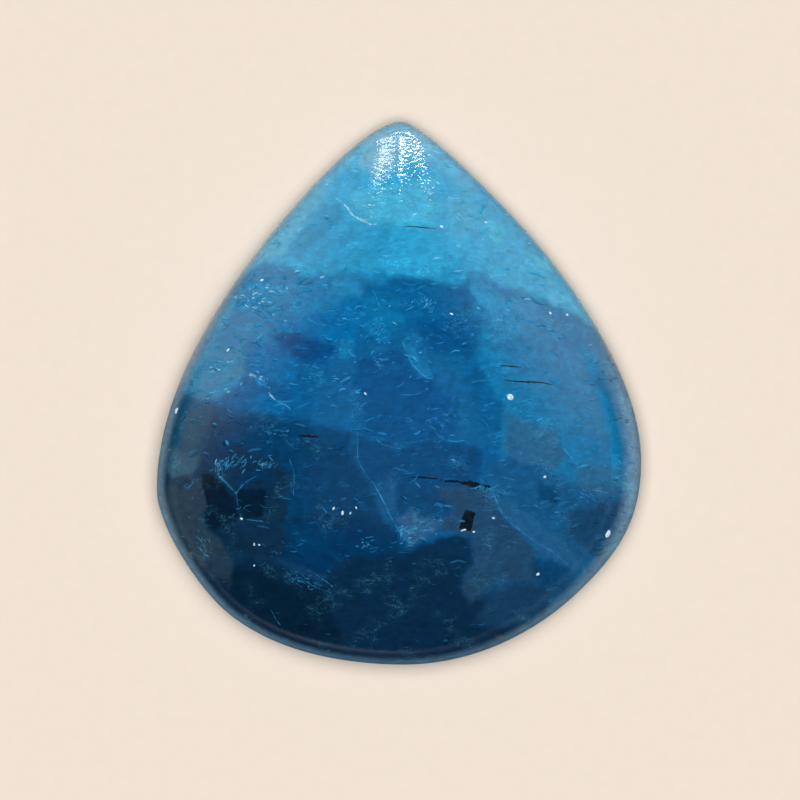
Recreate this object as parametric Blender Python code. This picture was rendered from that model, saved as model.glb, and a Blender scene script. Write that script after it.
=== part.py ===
"""A pear-shaped cabochon of blue apatite, one polished stone that lies on its flat back.

Every size below is in millimetres, and the mesh is made in metres. +Z is up, out of the dome, and
+Y points from the broad end to the tip. The origin is at the middle of the stone's box, on the back.
"""

import math

import bmesh
import bpy
from mathutils import Vector
from mathutils.geometry import interpolate_bezier

MM = 0.001

# The girdle outline, seen from above and followed clockwise from the tip. Each anchor is
# (x, y, heading in degrees, handle before it, handle after it), on a stone 31.2 wide and 35 long.
OUTLINE = (
    (0.15, 17.50, 0, 1.65, 1.00),
    (7.75, 10.95, -47, 4.80, 5.25),
    (15.60, -4.40, -90, 5.15, 3.75),
    (11.30, -13.05, -137, 3.95, 3.45),
    (0.35, -17.50, -180, 4.45, 5.00),
    (-11.55, -13.70, -224, 3.60, 2.20),
    (-15.60, -6.20, -270, 2.25, 6.25),
    (-7.60, 11.05, -310, 5.95, 4.70),
)

THICKNESS = 8.0
BACK_BEVEL = 0.40
GIRDLE_TOP = 1.25

# The dome's edge rolls over in a steep band, which is widest at the lower left.
EDGE_WIDTH_LEAST = 0.40
EDGE_WIDTH_MOST = 1.10
EDGE_WIDEST_AT_DEG = -125.0
EDGE_RISE_PER_WIDTH = 1.5

# Going up, the dome's rings shrink onto the summit and turn from the pear to this circle.
SUMMIT = Vector((0.0, -3.5))
ROUND_RADIUS = 15.0
ROUNDING_POWER = 1.6
DOME_POWER = 2.3

POINTS_PER_SPAN = 13
EDGE_RINGS = 5
DOME_RINGS = 15


def round_outline():
    """The circle that the rings turn into, in anchors that match the outline's."""
    step = math.tau / len(OUTLINE)
    handle = ROUND_RADIUS * 4 / 3 * math.tan(step / 4)
    anchors = []
    for number in range(len(OUTLINE)):
        turn = number * step
        x = SUMMIT.x + ROUND_RADIUS * math.sin(turn)
        y = SUMMIT.y + ROUND_RADIUS * math.cos(turn)
        anchors.append((x, y, -math.degrees(turn), handle, handle))
    return anchors


def heading_vector(degrees):
    """The unit direction of a heading, counted from +X towards +Y."""
    return Vector((math.cos(math.radians(degrees)), math.sin(math.radians(degrees)), 0))


def outline_points(roundness):
    """The points of an outline between the pear, at roundness 0, and the circle, at 1."""
    anchors = []
    for pear, circle in zip(OUTLINE, round_outline()):
        anchors.append([a + (b - a) * roundness for a, b in zip(pear, circle)])
    points = []
    for here, after in zip(anchors, anchors[1:] + anchors[:1]):
        start = Vector((here[0], here[1], 0))
        end = Vector((after[0], after[1], 0))
        span = interpolate_bezier(
            start,
            start + heading_vector(here[2]) * here[4],
            end - heading_vector(after[2]) * after[3],
            end,
            POINTS_PER_SPAN + 1,
        )
        points += [point.to_2d() for point in span[:-1]]
    return points


def edge_width(point):
    """How far in from the girdle the steep band reaches, which changes round the hand-cut stone."""
    away = point - SUMMIT
    turn = math.atan2(away.y, away.x) - math.radians(EDGE_WIDEST_AT_DEG)
    share = (1 + math.cos(turn)) / 2
    return EDGE_WIDTH_LEAST + (EDGE_WIDTH_MOST - EDGE_WIDTH_LEAST) * share


def dome_point(girdle_point, ring_point, size, roll):
    """A point of the dome. size is its share of the way out from the summit, and roll turns from 0 at
    the girdle to a quarter turn where the steep band ends."""
    edge_rise = EDGE_RISE_PER_WIDTH * edge_width(girdle_point)
    dome_rise = THICKNESS - GIRDLE_TOP - edge_rise
    height = GIRDLE_TOP + edge_rise * math.sin(roll) + dome_rise * (1 - size**DOME_POWER)
    place = SUMMIT + size * (ring_point - SUMMIT)
    return Vector((place.x, place.y, height))


def dome_ring(shrink, roll):
    """One ring of the dome. shrink is 1 at the end of the steep band and falls to 0 at the summit."""
    ring = []
    girdle = outline_points(0)
    bands = [edge_width(point) * (1 - math.cos(roll)) / (point - SUMMIT).length for point in girdle]
    mean_size = (1 - sum(bands) / len(bands)) * shrink
    rounded = outline_points(1 - mean_size**ROUNDING_POWER)
    for girdle_point, ring_point, band in zip(girdle, rounded, bands):
        ring.append(dome_point(girdle_point, ring_point, (1 - band) * shrink, roll))
    return ring


def back_rings():
    """The flat back's edge, and the foot of the girdle wall above its bevel."""
    girdle = outline_points(0)
    back = []
    for before, here, after in zip(girdle[-1:] + girdle[:-1], girdle, girdle[1:] + girdle[:1]):
        along = (after - before).normalized()
        back.append(Vector((here.x + along.y * BACK_BEVEL, here.y - along.x * BACK_BEVEL, 0)))
    foot = [Vector((point.x, point.y, BACK_BEVEL)) for point in girdle]
    return [back, foot]


def rings():
    """All the rings, from the back to the last one below the summit."""
    quarter = math.pi / 2
    stack = back_rings()
    stack += [dome_ring(1, quarter * number / EDGE_RINGS) for number in range(EDGE_RINGS)]
    stack += [dome_ring(math.cos(quarter * number / DOME_RINGS), quarter) for number in range(DOME_RINGS)]
    return stack


def stone_mesh():
    """The closed mesh: a flat back, walls of four-sided faces between the rings, and a fan at the summit."""
    mesh = bpy.data.meshes.new("apatite_cabochon")
    shape = bmesh.new()
    loops = [[shape.verts.new(point * MM) for point in ring] for ring in rings()]
    summit = shape.verts.new(Vector((SUMMIT.x, SUMMIT.y, THICKNESS)) * MM)
    count = len(loops[0])
    shape.faces.new(loops[0])
    for lower, upper in zip(loops, loops[1:]):
        for here in range(count):
            after = (here + 1) % count
            shape.faces.new((lower[here], upper[here], upper[after], lower[after]))
    for here in range(count):
        shape.faces.new((loops[-1][here], summit, loops[-1][(here + 1) % count]))
    bmesh.ops.recalc_face_normals(shape, faces=shape.faces)
    shape.to_mesh(mesh)
    shape.free()
    return mesh


def blue_apatite():
    """Glossy blue stone."""
    material = bpy.data.materials.new("blue_apatite")
    material.use_nodes = True
    shader = material.node_tree.nodes["Principled BSDF"]
    shader.inputs["Base Color"].default_value = (0.012, 0.10, 0.25, 1)
    shader.inputs["Roughness"].default_value = 0.08
    shader.inputs["IOR"].default_value = 1.635
    return material


def clear_scene():
    """Removes whatever the scene starts with."""
    for thing in list(bpy.data.objects):
        bpy.data.objects.remove(thing)


def main():
    """Builds the stone."""
    clear_scene()
    mesh = stone_mesh()
    mesh.shade_smooth()
    mesh.set_sharp_from_angle(angle=math.radians(40))
    mesh.materials.append(blue_apatite())
    stone = bpy.data.objects.new("apatite_cabochon", mesh)
    bpy.context.scene.collection.objects.link(stone)


main()
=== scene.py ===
"""The looks of a pear-shaped cabochon of blue apatite, lying on pale paper and seen from above.

The stone has the form of the solid in the frame, on a finer mesh with a hand polish. Set into its polish
are the cracks, flecks, needles and grains that grew in it. Sizes in the lists are in millimetres, with
x and y from the middle of the stone and +y towards its tip. The meshes are in metres.
"""

import math
import random

import bmesh
import bpy
import numpy
from mathutils import Matrix, Vector, noise
from mathutils.bvhtree import BVHTree
from mathutils.geometry import interpolate_bezier


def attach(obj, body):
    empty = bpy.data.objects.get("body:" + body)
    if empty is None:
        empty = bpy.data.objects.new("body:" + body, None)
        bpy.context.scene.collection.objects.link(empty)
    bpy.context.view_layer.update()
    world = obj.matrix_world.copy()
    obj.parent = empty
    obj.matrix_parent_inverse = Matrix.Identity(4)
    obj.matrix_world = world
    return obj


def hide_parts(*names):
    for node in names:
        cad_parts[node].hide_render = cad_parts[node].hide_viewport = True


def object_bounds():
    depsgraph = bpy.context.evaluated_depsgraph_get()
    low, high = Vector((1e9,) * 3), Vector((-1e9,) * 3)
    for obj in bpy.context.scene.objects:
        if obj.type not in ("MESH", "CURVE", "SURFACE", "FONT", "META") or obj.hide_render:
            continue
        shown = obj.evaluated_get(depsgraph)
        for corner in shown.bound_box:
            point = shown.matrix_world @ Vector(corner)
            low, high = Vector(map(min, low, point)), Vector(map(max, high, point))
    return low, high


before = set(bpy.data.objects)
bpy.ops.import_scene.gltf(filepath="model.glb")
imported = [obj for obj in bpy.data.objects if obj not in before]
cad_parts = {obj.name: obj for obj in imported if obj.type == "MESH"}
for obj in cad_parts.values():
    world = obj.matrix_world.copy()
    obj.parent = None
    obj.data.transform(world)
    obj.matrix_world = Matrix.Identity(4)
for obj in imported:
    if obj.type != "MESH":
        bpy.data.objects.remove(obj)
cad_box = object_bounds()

bl_info = {
    "name": "Blue apatite cabochon",
    "version": (1, 0, 0),
    "blender": (4, 5, 0),
    "location": "3D View > Sidebar > Apatite",
    "description": "Builds a polished pear-shaped cabochon of blue apatite and a pale studio round it",
    "category": "Add Mesh",
}

MM = 0.001
CAD_NODE = "apatite_cabochon"

# The size of the solid in the frame, which the outline below is drawn on.
STONE_BOX = cad_box[1] - cad_box[0]

# The girdle outline, seen from above and followed clockwise from the tip. Each anchor is
# (x, y, heading in degrees, handle before it, handle after it), on a stone 31.2 wide and 35 long.
OUTLINE = (
    (0.15, 17.50, 0, 1.65, 1.00),
    (7.75, 10.95, -47, 4.80, 5.25),
    (15.60, -4.40, -90, 5.15, 3.75),
    (11.30, -13.05, -137, 3.95, 3.45),
    (0.35, -17.50, -180, 4.45, 5.00),
    (-11.55, -13.70, -224, 3.60, 2.20),
    (-15.60, -6.20, -270, 2.25, 6.25),
    (-7.60, 11.05, -310, 5.95, 4.70),
)
OUTLINE_WIDTH = 31.2
OUTLINE_LENGTH = 35.0

# The dome's edge rolls over in a steep band, which is widest at the lower left.
EDGE_WIDTH_LEAST = 0.40
EDGE_WIDTH_MOST = 1.10
EDGE_WIDEST_AT_DEG = -125.0
EDGE_RISE_PER_WIDTH = 1.5

# Going up, the dome's rings shrink onto the summit and turn from the pear to this circle.
SUMMIT = Vector((0.0, -3.5))
ROUND_RADIUS = 15.0
ROUNDING_POWER = 1.6
DOME_POWER = 2.3

POINTS_PER_SPAN = 80
EDGE_RINGS = 12
DOME_RINGS = 126

COLOUR_LAYER = "zones"

# The girdle has a colour of its own, partly from its grinding and partly a painted reflection, strongest
# below the height RIM_LOW and gone above RIM_HIGH.
# Towards the tip it fades out over the last RIM_FADE before y = RIM_ENDS. All are in mm.
RIM_LOW = 2.4
RIM_HIGH = 3.1
RIM_ENDS = 5.0
RIM_FADE = 6.0

# The girdle is ground matt up to the height MATT_LOW, and the polish is full from MATT_HIGH, in mm. The
# matt part fades out towards the tip as the girdle's colour does.
MATT_LOW = 3.3
MATT_HIGH = 3.9

# The matt part throws back more light than the clear stone, so its colours are toned down to this share.
MATT_TONE = 0.66

# How strongly each mineral bends light, which also sets how much its polish mirrors.
APATITE_IOR = 1.635
CALCITE_IOR = 1.60
TOURMALINE_IOR = 1.64

# How much of the light goes through the clear stone rather than being thrown back by its clouds, and
# the share of that which still goes through the matt girdle.
STONE_CLEARNESS = 0.40
GIRDLE_CLEARNESS = 0.15

# How rough the polish and the ground girdle are, from 0 to 1.
POLISH_ROUGHNESS = 0.06
GIRDLE_ROUGHNESS = 0.5

# How much of the light the polish mirrors: 0.5 is what the mineral's bending of light gives. The broken
# sides of a crack mirror less.
POLISH_GLOSS = 0.5
CRACK_GLOSS = 0.12

# How thickly the blue inside the stone takes up light, per metre.
ABSORPTION = 60.0

# The cracks are opaque and the stone is not, so their edges are toned down to this share to match it.
CRACK_EDGE_TONE = 0.62

# Up to this brightness, out of 1, a crack goes from the stone's colour to blue, and past it to white.
BLUE_TO_WHITE = 0.62

# This share of the flecks has a dark side, where the crack is open.
DARK_SIDE_SHARE = 0.45

# How bright the thin curtain beside the window is, against the window.
CURTAIN_SHARE = 0.09

# Settings of a Map Range node that eases from one end to the other and holds both ends.
EASED = {"interpolation_type": "SMOOTHSTEP"}

# Hairlines that come in patches: how fine their noise is along x, y and z, per mm; a turn in degrees that
# picks another part of that noise; their thickness, and where a patch starts and is full, in the units
# of the noise; their strength; and what they multiply the colour by and add to it. The first three are
# healed cracks, which are light, and the last is open cracks seen edge on, which are dark.
HAIRLINES = (
    ((0.55, 2.6, 1.5), 6, 0.016, 0.50, 0.64, 0.60, (1.5, 1.5, 1.4), (0.03, 0.12, 0.16)),
    ((1.1, 1.9, 1.4), -35, 0.014, 0.54, 0.66, 0.60, (1.5, 1.5, 1.4), (0.03, 0.12, 0.16)),
    ((2.4, 3.6, 3.0), 30, 0.030, 0.56, 0.68, 0.50, (1.5, 1.5, 1.4), (0.03, 0.12, 0.16)),
    ((0.7, 2.2, 1.5), -8, 0.010, 0.52, 0.62, 0.45, (0.45, 0.45, 0.45), (0.0, 0.0, 0.0)),
)

# The zones of colour in the stone, each laid over the ones before it: name of the colour, how much it
# covers, softness of its edge in mm, and its corners as (x, y).
# The zones mix the stone's own colours with painted light: the light upper part and its flanks are partly
# painted light from the window shining in at the tip, the broad end is partly painted shade, and the grey
# blue veils on the left and the right are partly painted reflections of soft lights.
COLOUR_ZONES = (
    ("night", 0.95, 2, ((-17, -1.5), (-12, -1.2), (-6.5, -2), (-3, -4), (0, -10), (8, -11.5), (12, -14),
        (6, -19), (-8, -19), (-17, -10))),
    ("ink", 0.95, 1.6, ((6.0, -4.5), (17, -4.5), (15, -12), (10, -15), (4, -12), (5.6, -8))),
    ("steel", 0.9, 1.2, ((-17, 0.5), (-10.8, 0.5), (-9.5, 3), (-5, 5), (-1, 6.4), (-1, 9), (-12, 9))),
    ("sky", 0.97, 0.57, ((-11.5, 6.6), (-8.6, 8.2), (-6.6, 8.1), (-5.8, 7.4), (-4, 7.75), (-1, 7.75),
        (0.7, 7.5), (2, 7.3), (3, 7.05), (4.3, 7.15), (4.6, 7.8), (5.6, 7.4), (6.3, 6.9), (7, 6.5),
        (8.2, 6.2), (9.4, 5.8), (10.3, 5.6), (11.3, 4.9), (12.3, 4.3), (14, 2.5), (17, 10), (5, 20),
        (-5, 20), (-14, 10))),
    ("sky_light", 0.8, 0.95, ((-3.4, 13), (0, 13.3), (2.5, 14), (1.9, 12.8), (2.9, 11.9), (2, 10.9),
        (-1.5, 10.9), (-2.6, 11.4))),
    ("sky_left", 0.7, 1.14, ((-5.8, 8.2), (-5.6, 10.2), (-3, 10.8), (-0.5, 10.8), (-0.5, 8), (-4, 8))),
    ("flank", 0.85, 0.66, ((-11.5, 7.2), (-8.8, 8.4), (-7.2, 9.2), (-6.1, 10.8), (-4.9, 12.2),
        (-4.1, 13.9), (-2.8, 15.2), (-1.8, 16.4), (-3, 17.5), (-9, 13))),
    ("flank_dull", 0.8, 0.76, ((-6, 10.9), (-4.9, 12), (-3.8, 11.9), (-3.3, 11.2), (-4.4, 10.6),
        (-6.2, 8.6), (-7.4, 9))),
    ("milk_and_glow", 0.75, 1.33, ((-2.6, 15), (-1.9, 16.6), (0, 18), (2.2, 17), (2.6, 15.6), (2, 15), (0.8, 15.2),
        (-0.5, 14.4), (-1.5, 14))),
    ("tip_right", 0.8, 0.95, ((1.2, 15.2), (2.5, 16.2), (5.5, 13.6), (4.5, 12.6), (3.5, 13.8))),
    ("right_flank", 0.7, 0.76, ((5, 14), (12.6, 4.6), (11.9, 4.9), (7.4, 10.4), (4.6, 13.2))),
    ("sky_dull", 0.6, 1.14, ((2.9, 11.9), (3.2, 12.6), (5.6, 11.8), (5.2, 10.9), (4, 10), (3, 10.4))),
    ("pale", 0.6, 0.3, ((5.4, 10.8), (6.6, 11.2), (6.8, 10.2), (6.2, 9.4), (5.6, 10))),
    ("pale", 0.8, 0.25, ((8.2, 8.9), (9.5, 8.6), (10, 7.6), (8.9, 8))),
    ("sky_light", 0.7, 0.76, ((9.5, 7), (11.2, 6), (11.9, 4.9), (11, 5), (9.6, 6))),
    ("sky_low", 0.6, 0.76, ((2.4, 7.3), (3.6, 8.6), (4.2, 8.2), (4.3, 7.2), (3, 7.1))),
    ("steel", 0.95, 0.95, ((-12.8, 4.2), (-10.8, 7.3), (-8.8, 8.2), (-6.6, 8), (-5.8, 7.4), (-4, 7.75),
        (-1, 7.75), (-0.6, 7.3), (-2.2, 6.2), (-4.5, 5.6), (-6, 5.2), (-8, 3.2), (-10, 3), (-13.6, 2.4))),
    ("steel_grey", 0.7, 0.57, ((-3.9, 7.7), (-1.2, 7.75), (-0.8, 6.9), (-2.6, 6.2), (-4.6, 6.3))),
    ("steel_dark", 0.7, 0.57, ((-9, 8), (-8, 8.4), (-6.6, 7.6), (-7.9, 7), (-9.2, 7.2))),
    ("steel_dark", 0.6, 0.76, ((-9, 6.4), (-6, 6.3), (-5, 5.4), (-8.8, 5.2))),
    ("left_edge", 0.75, 0.66, ((-14.6, -0.4), (-13.2, 2.6), (-10.9, 6.6), (-10.2, 6.4), (-11.6, 4),
        (-12.2, 2.2), (-13, 0.4))),
    ("painted_veil", 0.85, 0.47, ((-13.8, 0), (-12.9, 1.4), (-12.4, 2.4), (-10, 2.9), (-10.2, 2), (-9.9, 1.2),
        (-10.8, 0.4), (-11.6, -0.5), (-12.6, -0.5))),
    ("cyan", 0.85, 0.76, ((-10, 1.2), (-9.6, 3.1), (-7.9, 3.3), (-6.4, 2.2), (-6.8, 1), (-8.4, 1),
        (-9.4, 1))),
    ("cyan", 0.8, 0.66, ((-9.8, -0.4), (-8.4, 0.2), (-7.4, -0.6), (-7.8, -1.4), (-9.2, -1.2))),
    ("cyan", 0.85, 0.66, ((-7.9, 3.9), (-7, 4.6), (-5.4, 5.2), (-3, 6), (-2.2, 5.6), (-2.4, 4.6),
        (-3, 3.2), (-4.6, 3.2), (-6.8, 3.9))),
    ("deep", 0.8, 0.57, ((-8.2, 3.8), (-6.8, 3.8), (-4.8, 3.3), (-4, 2.6), (-4.6, 2), (-6.6, 2),
        (-7.6, 2.6))),
    ("steel", 0.7, 0.57, ((-4, 3.1), (-2.8, 3.6), (-2.9, 2.4), (-3.8, 2.2))),
    ("royal_deep", 0.9, 0.95, ((-2.4, 7.2), (-0.6, 7), (0.8, 7.3), (2, 7.3), (4, 7), (4.4, 6.6),
        (4.2, 5.6), (5.2, 4.6), (4.8, 2), (5.6, 0.2), (4.6, -0.8), (5.6, -2.4), (5, -4.4), (2, -4.6),
        (-1.6, -4.4), (-3.6, -0.6), (-2.9, 2.2), (-2.2, 4.6))),
    ("steel_dark", 0.5, 1.14, ((-2.4, 6), (-0.2, 6.2), (0.2, 4.6), (-0.8, 3.6), (-2.3, 4.2))),
    ("deep", 0.75, 0.66, ((-0.2, 3), (0.9, 1.4), (1.9, 0.9), (2.6, 0.2), (4, -1), (3.6, -2.8), (1, -3.2),
        (-2.2, -2.6), (-2.6, -0.8), (-3.2, 1), (-2.2, 2.2))),
    ("deep", 0.6, 0.76, ((1.2, 4.8), (4.4, 4.6), (4.6, 2.4), (2.2, 2.6), (1.4, 3.6))),
    ("sliver", 0.9, 0.12, ((0.2, 3.3), (1, 3), (1.6, 2), (2.1, 0.9), (1.4, 1), (0.8, 1.9), (0.45, 2.6))),
    ("royal", 0.6, 0.57, ((2.6, 0.4), (5.4, 1.8), (5.8, -0.6), (4.6, -1.6), (3.4, -0.6))),
    ("steel", 0.95, 0.76, ((4.6, 7.8), (5.6, 7.4), (6.3, 6.9), (7.2, 6.4), (8.2, 6.2), (9.4, 5.8),
        (11.3, 4.9), (12.6, 4.2), (14.4, 1), (15.4, -3), (15.2, -5), (14.6, -6.2), (11.6, -6),
        (9.5, -4.9), (7.6, -4.2), (6.4, -4.4), (6.4, -2), (6.6, -0.8), (5.8, 0.4), (5, 2.4), (5.2, 4.4),
        (4.4, 5.6), (4.6, 6.6))),
    ("steel_grey", 0.7, 0.57, ((6.6, 5.4), (7.6, 6.1), (9, 5.6), (8.4, 4.4), (8.8, 3.8), (6.2, 4.2),
        (5.4, 4.6))),
    ("steel_light", 0.5, 0.76, ((8.8, 5.2), (10.2, 5.4), (11.6, 4.4), (13, 3), (12.2, 2.2), (9.2, 3.4))),
    ("sky_left", 0.85, 0.38, ((4.6, 7), (5.6, 6.9), (6.2, 6.2), (6.8, 6), (6.4, 5.4), (5.8, 5),
        (5.2, 5.7), (4.8, 6.2))),
    ("steel_grey", 0.8, 0.28, ((4.4, 7.9), (5.2, 7.8), (6.2, 6.9), (5.2, 6.9), (4.6, 7.2))),
    ("steel_dark", 0.7, 0.28, ((6.6, 6.6), (7.4, 6.4), (6.4, 6.1), (5.9, 6.1))),
    ("right_low", 0.75, 0.76, ((6.6, -0.9), (8, -1.6), (10.2, -2.4), (10.6, -3.8), (10.2, -4.9),
        (7.6, -4.6), (6.6, -4))),
    ("right_edge", 0.6, 0.76, ((13.2, 2.6), (14.6, 0.4), (15.3, -2.4), (15, -6), (14.2, -6.6), (14.2, -3),
        (13.4, -0.4), (12.4, 0.6))),
    ("steel_light", 0.6, 0.76, ((10.8, -2.6), (12.4, -2.4), (14.4, -3.4), (14, -4.4), (11.6, -4.4))),
    ("ink", 0.9, 0.66, ((6.2, -4.2), (9.6, -4.9), (11.8, -6), (14.6, -6.4), (14.6, -8.4), (13.2, -10.6),
        (11.4, -11.4), (9.6, -10), (8, -9), (7, -7.8), (6.2, -6.4))),
    ("right_low", 0.55, 0.76, ((11.4, -4.6), (14.8, -4.6), (14.9, -6.6), (12.4, -6.8), (11.4, -6))),
    ("ink_deep", 0.7, 0.47, ((8.8, -5.9), (10.4, -6.1), (10.2, -7), (8.8, -6.8))),
    ("dusk_blue", 0.85, 0.47, ((10.6, -7.6), (13.4, -7.2), (14.4, -7.2), (14.2, -8.8), (12.6, -10.6),
        (11.2, -9.4))),
    ("dusk", 0.6, 0.47, ((12.6, -7), (14.6, -6.8), (14.3, -8.2), (13, -7.8))),
    ("ink_light", 0.85, 0.47, ((-2.7, -2.6), (-2.6, -4.2), (-2, -5.4), (-0.9, -7.2), (-0.2, -8.4),
        (0.7, -9.7), (2.2, -9.1), (3.8, -8.6), (5.6, -6), (5.4, -5.2), (5.4, -3.6), (2.4, -3),
        (0, -3.2))),
    ("ink", 0.6, 0.47, ((-1.7, -5.6), (-0.2, -5.6), (0, -7.6), (-0.4, -8))),
    ("ink_deep", 0.6, 0.57, ((0, -6.4), (3, -6.4), (3.4, -7.2), (1.2, -7.6), (-0.2, -7))),
    ("right_low", 0.7, 0.38, ((-0.1, -8), (0.8, -7.6), (3.2, -8.4), (2, -9.1), (0.7, -9.6))),
    ("dusk", 0.85, 0.57, ((2.4, -5.9), (5.8, -6), (6.2, -7.4), (7.4, -8.8), (8.8, -10.2), (9.4, -11.6),
        (8.6, -12.4), (6.2, -12), (4.4, -13.6), (4, -12.4), (4.8, -11), (4.4, -9.2), (2.8, -8.6),
        (3.6, -7.4), (2.6, -6.6))),
    ("band", 0.8, 0.15, ((6.2, -6.6), (6.8, -6.9), (7.9, -7.6), (9.4, -8.9), (10.6, -9.4), (11.8, -11),
        (12, -11.8), (10.6, -11.4), (9.6, -10.4), (8.2, -9.5), (6.9, -8.3), (6.1, -7.2))),
    ("ink_deep", 0.9, 0.57, ((-11.9, -2.1), (-9.5, -1.7), (-7, -2), (-4.2, -2), (-2.9, -2.4),
        (-2.7, -4.4), (-2, -5.4), (-1.1, -7.4), (-2, -7.6), (-4.6, -7.6), (-7, -8), (-7.2, -5),
        (-7.8, -4), (-11, -3.4))),
    ("navy", 0.85, 0.57, ((-12.6, -2.2), (-11.4, -2), (-10.6, -3.4), (-11, -4), (-11.4, -5),
        (-12.3, -4.2))),
    ("ink_deep", 0.7, 0.57, ((-12, -0.8), (-10.8, -0.7), (-10.4, -1.8), (-12.2, -1.6))),
    ("slate", 0.85, 0.57, ((-14.2, 0), (-12.6, -0.5), (-11.8, -0.8), (-12.2, -2.2), (-12.6, -3.6),
        (-13.2, -4.8), (-14.8, -5), (-15.2, -2.6))),
    ("slate_pale", 0.8, 0.38, ((-14.6, -3.6), (-12.9, -3.7), (-12.8, -4.6), (-13.3, -5.3), (-14.4, -5.6),
        (-15, -5))),
    ("slate_dark", 0.9, 0.57, ((-14.8, -5.6), (-13.3, -5.2), (-12.4, -6), (-12.4, -8.2), (-11.6, -9.6),
        (-12.6, -11.4), (-14.2, -9.6), (-15.2, -7.6))),
    ("night", 0.8, 0.28, ((-14.5, -5.4), (-13.4, -5.3), (-13.2, -5.9), (-14.2, -6.2), (-14.8, -5.9))),
    ("black", 0.95, 0.15, ((-12.8, -5.3), (-12, -5.1), (-11, -5.9), (-10.4, -6.6), (-10.3, -8),
        (-10.4, -9.2), (-11.4, -9.4), (-12.1, -8.6), (-12.4, -7))),
    ("night", 0.9, 0.38, ((-10.3, -6), (-9.4, -5.6), (-7.4, -4.6), (-7.1, -5), (-7.1, -8.2),
        (-10.2, -8.4))),
    ("black", 0.85, 0.2, ((-10.3, -6.1), (-9.6, -5.9), (-8.6, -6.2), (-8.8, -7.8), (-10.1, -8))),
    ("navy", 0.7, 0.38, ((-10.4, -5.4), (-9.4, -5), (-8.2, -4.8), (-7.8, -5.6), (-9.4, -5.6),
        (-10.2, -6))),
    ("navy", 0.9, 0.57, ((-7.2, -8.2), (-4.6, -7.7), (-1.2, -7.6), (-0.2, -8.6), (0.5, -9.8), (-1, -10.4),
        (-3.4, -10.6), (-4.4, -11.6), (-5, -12.2), (-6.4, -11.4), (-8.2, -10.8), (-7.2, -9.6))),
    ("ink_deep", 0.6, 0.76, ((-7, -8.6), (-5, -8.6), (-4.2, -10.2), (-6.6, -10.2))),
    ("night", 0.9, 0.57, ((-12.2, -8.6), (-10.2, -8.4), (-7.4, -8.5), (-7, -9.4), (-7.6, -10.8),
        (-9.4, -10.6), (-11.4, -9.6))),
    ("midnight", 0.95, 0.66, ((-8.4, -11), (-6.4, -11.6), (-4.9, -12.4), (-4.2, -11.4), (-3.4, -10.7),
        (-1, -10.5), (0.6, -9.8), (3.8, -9), (4.4, -9.2), (4.8, -11), (4, -12.4), (4.4, -13.8),
        (6.2, -12.6), (8.6, -12.6), (10, -12.4), (8.6, -16), (3, -18), (-4, -18), (-9.6, -16),
        (-13, -12.8), (-10, -10.6))),
    ("dusk_blue", 0.6, 0.28, ((-8.2, -10.6), (-6.6, -10.8), (-4.6, -12), (-5.2, -12.3), (-6.6, -11.5))),
    ("black_blue", 0.85, 0.95, ((-10.9, -11.4), (-9, -11.2), (-7, -12), (-5.2, -12.8), (-4, -14),
        (-3.8, -15.8), (-7.4, -15.6), (-10.4, -13.6), (-11.8, -12))),
    ("slate_dark", 0.6, 0.57, ((-12.6, -9.6), (-11.6, -9.6), (-10.6, -10.9), (-11, -12.4),
        (-12.4, -10.8))),
    ("dusk_blue", 0.8, 0.76, ((6, -12.2), (9.6, -12), (11.6, -11.6), (9.8, -13.6), (7, -15.2),
        (5, -14.6))),
    ("ink_deep", 0.7, 0.38, ((8.6, -10.4), (9.8, -10.6), (11, -11.6), (9.4, -12.4), (8.6, -11.8))),
)

# How far a zone's drawn edge wanders, in mm, at each size of wave.
ZONE_WAVES = ((1.6, 0.35), (0.5, 0.16), (0.17, 0.06))

# Blender takes the seed of those waves from the clock unless it is given one.
ZONE_SEED = 7

# Needles of a dark mineral that reach the polish: (x, y, length, turn in degrees, thickness, colour).
DARK_NEEDLES = (
    (8.30, 0.71, 3.2, -5, 0.10, "needle"),
    (7.10, 1.70, 1.5, -5, 0.07, "needle"),
    (4.85, -5.86, 2.0, -8, 0.36, "needle"),
    (3.30, -5.62, 1.3, -6, 0.16, "needle"),
    (1.55, -5.42, 1.9, -2, 0.10, "needle"),
    (-5.75, -2.75, 1.3, -3, 0.16, "rust"),
    (-8.70, -6.75, 1.2, -4, 0.07, "rust"),
    (1.40, 10.62, 2.2, -4, 0.06, "needle"),
)

# The one dark crystal with a blunt outline: its middle, width, length, turn in degrees and depth.
DARK_CRYSTAL = (4.36, -8.14, 0.80, 1.30, -14, 0.5)

# Pale grains cut through by the polish: (x, y, half length, half width, turn in degrees).
PALE_GRAINS = (
    (7.06, -0.28, 0.26, 0.22, 0), (13.38, -9.02, 0.27, 0.20, 60), (-8.77, 7.23, 0.15, 0.09, 0),
    (-10.93, 2.76, 0.16, 0.08, 30), (8.87, -11.60, 0.13, 0.11, 0), (4.07, -8.75, 0.24, 0.07, 12),
    (9.69, 5.11, 0.12, 0.10, 0), (10.78, 5.02, 0.12, 0.09, 0), (3.34, 5.04, 0.14, 0.06, -15),
    (2.70, 10.65, 0.12, 0.10, 0), (5.57, 10.95, 0.09, 0.08, 0), (-14.27, -1.16, 0.20, 0.13, 70),
    (-4.15, -7.34, 0.14, 0.07, 60), (-3.59, -7.62, 0.17, 0.09, 80), (-3.09, -7.65, 0.12, 0.06, 65),
    (-2.73, -7.30, 0.11, 0.05, 100), (-9.25, -9.66, 0.12, 0.07, 75), (-8.92, -9.71, 0.10, 0.06, 0),
    (-10.05, -8.04, 0.12, 0.09, 0), (9.30, -5.36, 0.12, 0.09, 0), (5.98, -7.98, 0.16, 0.06, -20),
    (4.76, -8.86, 0.13, 0.06, -5), (-2.13, -0.06, 0.13, 0.07, -50), (-9.25, -11.02, 0.10, 0.05, 60),
)

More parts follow.
